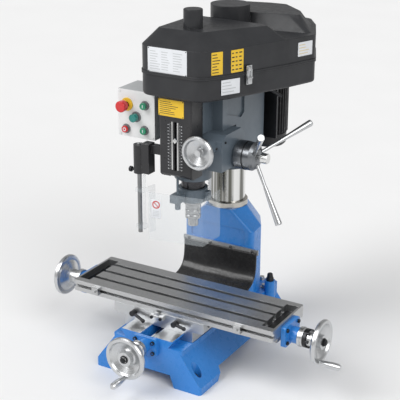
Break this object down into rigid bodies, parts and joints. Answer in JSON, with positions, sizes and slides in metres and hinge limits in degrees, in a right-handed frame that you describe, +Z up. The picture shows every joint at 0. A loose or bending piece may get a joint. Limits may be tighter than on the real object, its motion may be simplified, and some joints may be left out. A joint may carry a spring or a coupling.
{
  "type": "benchtop milling machine",
  "caption": "Benchtop mill-drill: round column on a cast base, compound table with handwheels, geared head with belt cover, quill feed levers, control box and swing guard.",
  "frame": {"origin": "centre of the base's four-bolt pattern, on the floor", "axes": "+X to the operator's right along the table, +Y to the rear, +Z up"},
  "size_m": [1.096, 1.001, 1.127],
  "materials": {
    "blue_paint": "satin enamel over cast iron",
    "grey_paint": "satin dark grey enamel over cast iron",
    "black_paint": "semi-gloss black enamel",
    "cover_plastic": "moulded black, fine grain",
    "machined_iron": "ground and scraped",
    "polished_steel": "ground and polished",
    "handwheel_metal": "turned",
    "dark_steel": "blackened",
    "flap_rubber": "smooth rubber sheet",
    "belt_rubber": "cloth-faced belt",
    "clear_sheet": "clear polycarbonate",
    "white_panel": "white enamel",
    "box_grey": "light grey enamel",
    "red_plastic": "moulded",
    "green_plastic": "moulded",
    "teal_plastic": "moulded",
    "bronze": "machined"
  },
  "bodies": {
    "base": {"base_casting": "blue_paint", "column_stand": "blue_paint", "column_ring": "machined_iron", "column_tube": "polished_steel", "flap_strip": "machined_iron", "way_cover": "flap_rubber", "y_bracket": "blue_paint"},
    "y_screw": {"y_leadscrew": "polished_steel", "y_dial": "handwheel_metal", "y_handwheel": "handwheel_metal"},
    "y_grip": {"y_handle": "handwheel_metal"},
    "saddle": {"saddle": "machined_iron", "feed_nuts": "bronze"},
    "left_lock": {"left_lock_lever": "dark_steel"},
    "right_lock": {"right_lock_lever": "dark_steel"},
    "table": {"table": "machined_iron", "x_brackets": "blue_paint"},
    "left_stop": {"left_table_stop": "machined_iron"},
    "right_stop": {"right_table_stop": "machined_iron"},
    "x_screw": {"x_leadscrew": "polished_steel", "x_dials": "handwheel_metal", "x_handwheels": "handwheel_metal"},
    "left_grip": {"left_handle": "handwheel_metal"},
    "right_grip": {"right_handle": "handwheel_metal"},
    "rack": {"column_rack": "polished_steel"},
    "head": {"head_casting": "grey_paint", "scale_panel": "black_paint", "feed_housing": "grey_paint", "spring_cover": "grey_paint", "belt_tray": "cover_plastic", "drive_belts": "belt_rubber", "control_box": "box_grey", "control_panel": "white_panel", "guard_holder": "black_paint"},
    "motor": {"motor": "black_paint", "motor_plate": "dark_steel"},
    "motor_rotor": {"motor_pulley": "handwheel_metal"},
    "idler": {"idler_pulley": "handwheel_metal"},
    "spindle_sheave": {"spindle_pulley": "handwheel_metal"},
    "tension": {"tension_lever": "dark_steel"},
    "quill_clamp": {"quill_lock": "dark_steel"},
    "crank": {"elevation_crank": "polished_steel"},
    "feed": {"feed_hub": "handwheel_metal", "feed_levers": "polished_steel"},
    "clutch": {"clutch_knob": "handwheel_metal"},
    "fine_feed": {"fine_feed_wheel": "handwheel_metal"},
    "quill": {"quill": "dark_steel", "quill_collar": "grey_paint"},
    "spindle": {"spindle": "polished_steel", "collet_chuck": "polished_steel"},
    "lid": {"belt_lid": "cover_plastic", "drawbar_cap": "cover_plastic"},
    "latch": {"lid_latch": "handwheel_metal"},
    "estop": {"emergency_stop": "red_plastic"},
    "upper_start": {"upper_start_button": "green_plastic"},
    "selector": {"selector_button": "teal_plastic"},
    "stop": {"stop_button": "red_plastic"},
    "lower_start": {"lower_start_button": "green_plastic"},
    "guard_slide": {"guard_post": "polished_steel"},
    "guard": {"guard_shield": "clear_sheet"}
  },
  "joints": [
    {"name": "y_screw_turn", "type": "hinge", "parent": "base", "child": "y_screw", "pos_m": [0, -0.3, 0.132], "axis": [0, 1, 0], "range_deg": [-1080, 13050]},
    {"name": "y_grip_turn", "type": "hinge", "parent": "y_screw", "child": "y_grip", "pos_m": [0, -0.45, 0.0705], "axis": [0, 1, 0], "continuous": true},
    {"name": "saddle_slide", "type": "slide", "parent": "base", "child": "saddle", "axis": [0, 1, 0], "range_m": [-0.012, 0.145], "deforming": ["way_cover"]},
    {"name": "left_lock_turn", "type": "hinge", "parent": "saddle", "child": "left_lock", "pos_m": [-0.088, -0.25, 0.188], "axis": [0, 1, 0], "range_deg": [-35, 10]},
    {"name": "right_lock_turn", "type": "hinge", "parent": "saddle", "child": "right_lock", "pos_m": [0.066, -0.25, 0.188], "axis": [0, 1, 0], "range_deg": [-35, 10]},
    {"name": "x_screw_turn", "type": "hinge", "parent": "table", "child": "x_screw", "pos_m": [0, -0.13, 0.195], "axis": [1, 0, 0], "range_deg": [-20250, 13500]},
    {"name": "table_slide", "type": "slide", "parent": "saddle", "child": "table", "axis": [1, 0, 0], "range_m": [-0.225, 0.15]},
    {"name": "left_stop_slide", "type": "slide", "parent": "table", "child": "left_stop", "axis": [1, 0, 0], "range_m": [-0.035, 0.22]},
    {"name": "right_stop_slide", "type": "slide", "parent": "table", "child": "right_stop", "axis": [1, 0, 0], "range_m": [-0.22, 0.06]},
    {"name": "left_grip_turn", "type": "hinge", "parent": "x_screw", "child": "left_grip", "pos_m": [-0.45, -0.08024, 0.15885], "axis": [1, 0, 0], "continuous": true},
    {"name": "right_grip_turn", "type": "hinge", "parent": "x_screw", "child": "right_grip", "pos_m": [0.52, -0.15304, 0.13798], "axis": [1, 0, 0], "continuous": true},
    {"name": "head_swivel", "type": "hinge", "parent": "base", "child": "rack", "pos_m": [0, 0.206, 0.6], "axis": [0, 0, 1], "range_deg": [-45, 45]},
    {"name": "crank_turn", "type": "hinge", "parent": "head", "child": "crank", "pos_m": [-0.08856, 0.206, 0.7], "axis": [0, 1, 0], "range_deg": [-1800, 1650]},
    {"name": "head_slide", "type": "slide", "parent": "rack", "child": "head", "axis": [0, 0, 1], "range_m": [-0.12, 0.11]},
    {"name": "motor_slide", "type": "slide", "parent": "head", "child": "motor", "axis": [0, 1, 0], "range_m": [-0.006, 0]},
    {"name": "tension_turn", "type": "hinge", "parent": "head", "child": "tension", "pos_m": [0.11, 0.25, 0.838], "axis": [1, 0, 0], "range_deg": [-40, 40]},
    {"name": "quill_clamp_turn", "type": "hinge", "parent": "head", "child": "quill_clamp", "pos_m": [-0.07, -0.024, 0.626], "axis": [1, 0, 0], "range_deg": [-30, 60]},
    {"name": "quill_slide", "type": "slide", "parent": "head", "child": "quill", "axis": [0, 0, -1], "range_m": [-0.032, 0.092]},
    {"name": "spindle_turn", "type": "hinge", "parent": "quill", "child": "spindle", "pos_m": [0, -0.024, 0.6], "axis": [0, 0, 1], "continuous": true},
    {"name": "spindle_sheave_turn", "type": "hinge", "parent": "head", "child": "spindle_sheave", "pos_m": [0, -0.024, 0.93], "axis": [0, 0, 1], "continuous": true},
    {"name": "idler_turn", "type": "hinge", "parent": "head", "child": "idler", "pos_m": [0.15, 0.14, 0.93], "axis": [0, 0, 1], "continuous": true},
    {"name": "motor_turn", "type": "hinge", "parent": "motor", "child": "motor_rotor", "pos_m": [0.058, 0.38, 0.93], "axis": [0, 0, 1], "continuous": true},
    {"name": "feed_turn", "type": "hinge", "parent": "head", "child": "feed", "pos_m": [0.1, 0.0335, 0.676], "axis": [1, 0, 0], "range_deg": [-91.8, 263.8]},
    {"name": "clutch_turn", "type": "hinge", "parent": "feed", "child": "clutch", "pos_m": [0.22, 0.0335, 0.676], "axis": [1, 0, 0], "range_deg": [0, 360]},
    {"name": "fine_feed_turn", "type": "hinge", "parent": "head", "child": "fine_feed", "pos_m": [0.086, -0.142, 0.719], "axis": [0, 1, 0], "continuous": true},
    {"name": "lid_hinge", "type": "hinge", "parent": "head", "child": "lid", "pos_m": [-0.128, 0, 0.947], "axis": [0, -1, 0], "range_deg": [0, 95]},
    {"name": "latch_hinge", "type": "hinge", "parent": "head", "child": "latch", "pos_m": [0.17953, -0.00287, 0.914], "axis": [0.3987, 0.9171, 0], "range_deg": [0, 100]},
    {"name": "guard_height", "type": "slide", "parent": "head", "child": "guard_slide", "axis": [0, 0, -1], "range_m": [0, 0.05]},
    {"name": "guard_swing", "type": "hinge", "parent": "guard_slide", "child": "guard", "pos_m": [-0.154, -0.098, 0.5], "axis": [0, 0, -1], "range_deg": [0, 100]},
    {"name": "estop_press", "type": "slide", "parent": "head", "child": "estop", "axis": [0, 1, 0], "range_m": [0, 0.0035], "stiffness_N_per_m": 600},
    {"name": "upper_start_press", "type": "slide", "parent": "head", "child": "upper_start", "axis": [0, 1, 0], "range_m": [0, 0.0035], "stiffness_N_per_m": 600},
    {"name": "selector_press", "type": "slide", "parent": "head", "child": "selector", "axis": [0, 1, 0], "range_m": [0, 0.0035], "stiffness_N_per_m": 600},
    {"name": "stop_press", "type": "slide", "parent": "head", "child": "stop", "axis": [0, 1, 0], "range_m": [0, 0.0035], "stiffness_N_per_m": 600},
    {"name": "lower_start_press", "type": "slide", "parent": "head", "child": "lower_start", "axis": [0, 1, 0], "range_m": [0, 0.0035], "stiffness_N_per_m": 600}
  ],
  "couplings": [
    {"joint": "y_screw_turn", "follows": "saddle_slide", "rad_per_m": 1570.8},
    {"joint": "x_screw_turn", "follows": "table_slide", "rad_per_m": 1570.8},
    {"joint": "crank_turn", "follows": "head_slide", "rad_per_m": 261.8},
    {"joint": "feed_turn", "follows": "quill_slide", "rad_per_m": 50},
    {"joint": "spindle_sheave_turn", "follows": "spindle_turn", "ratio": 1},
    {"joint": "idler_turn", "follows": "spindle_turn", "ratio": 1.4545},
    {"joint": "motor_turn", "follows": "spindle_turn", "ratio": 2.1818}
  ]
}
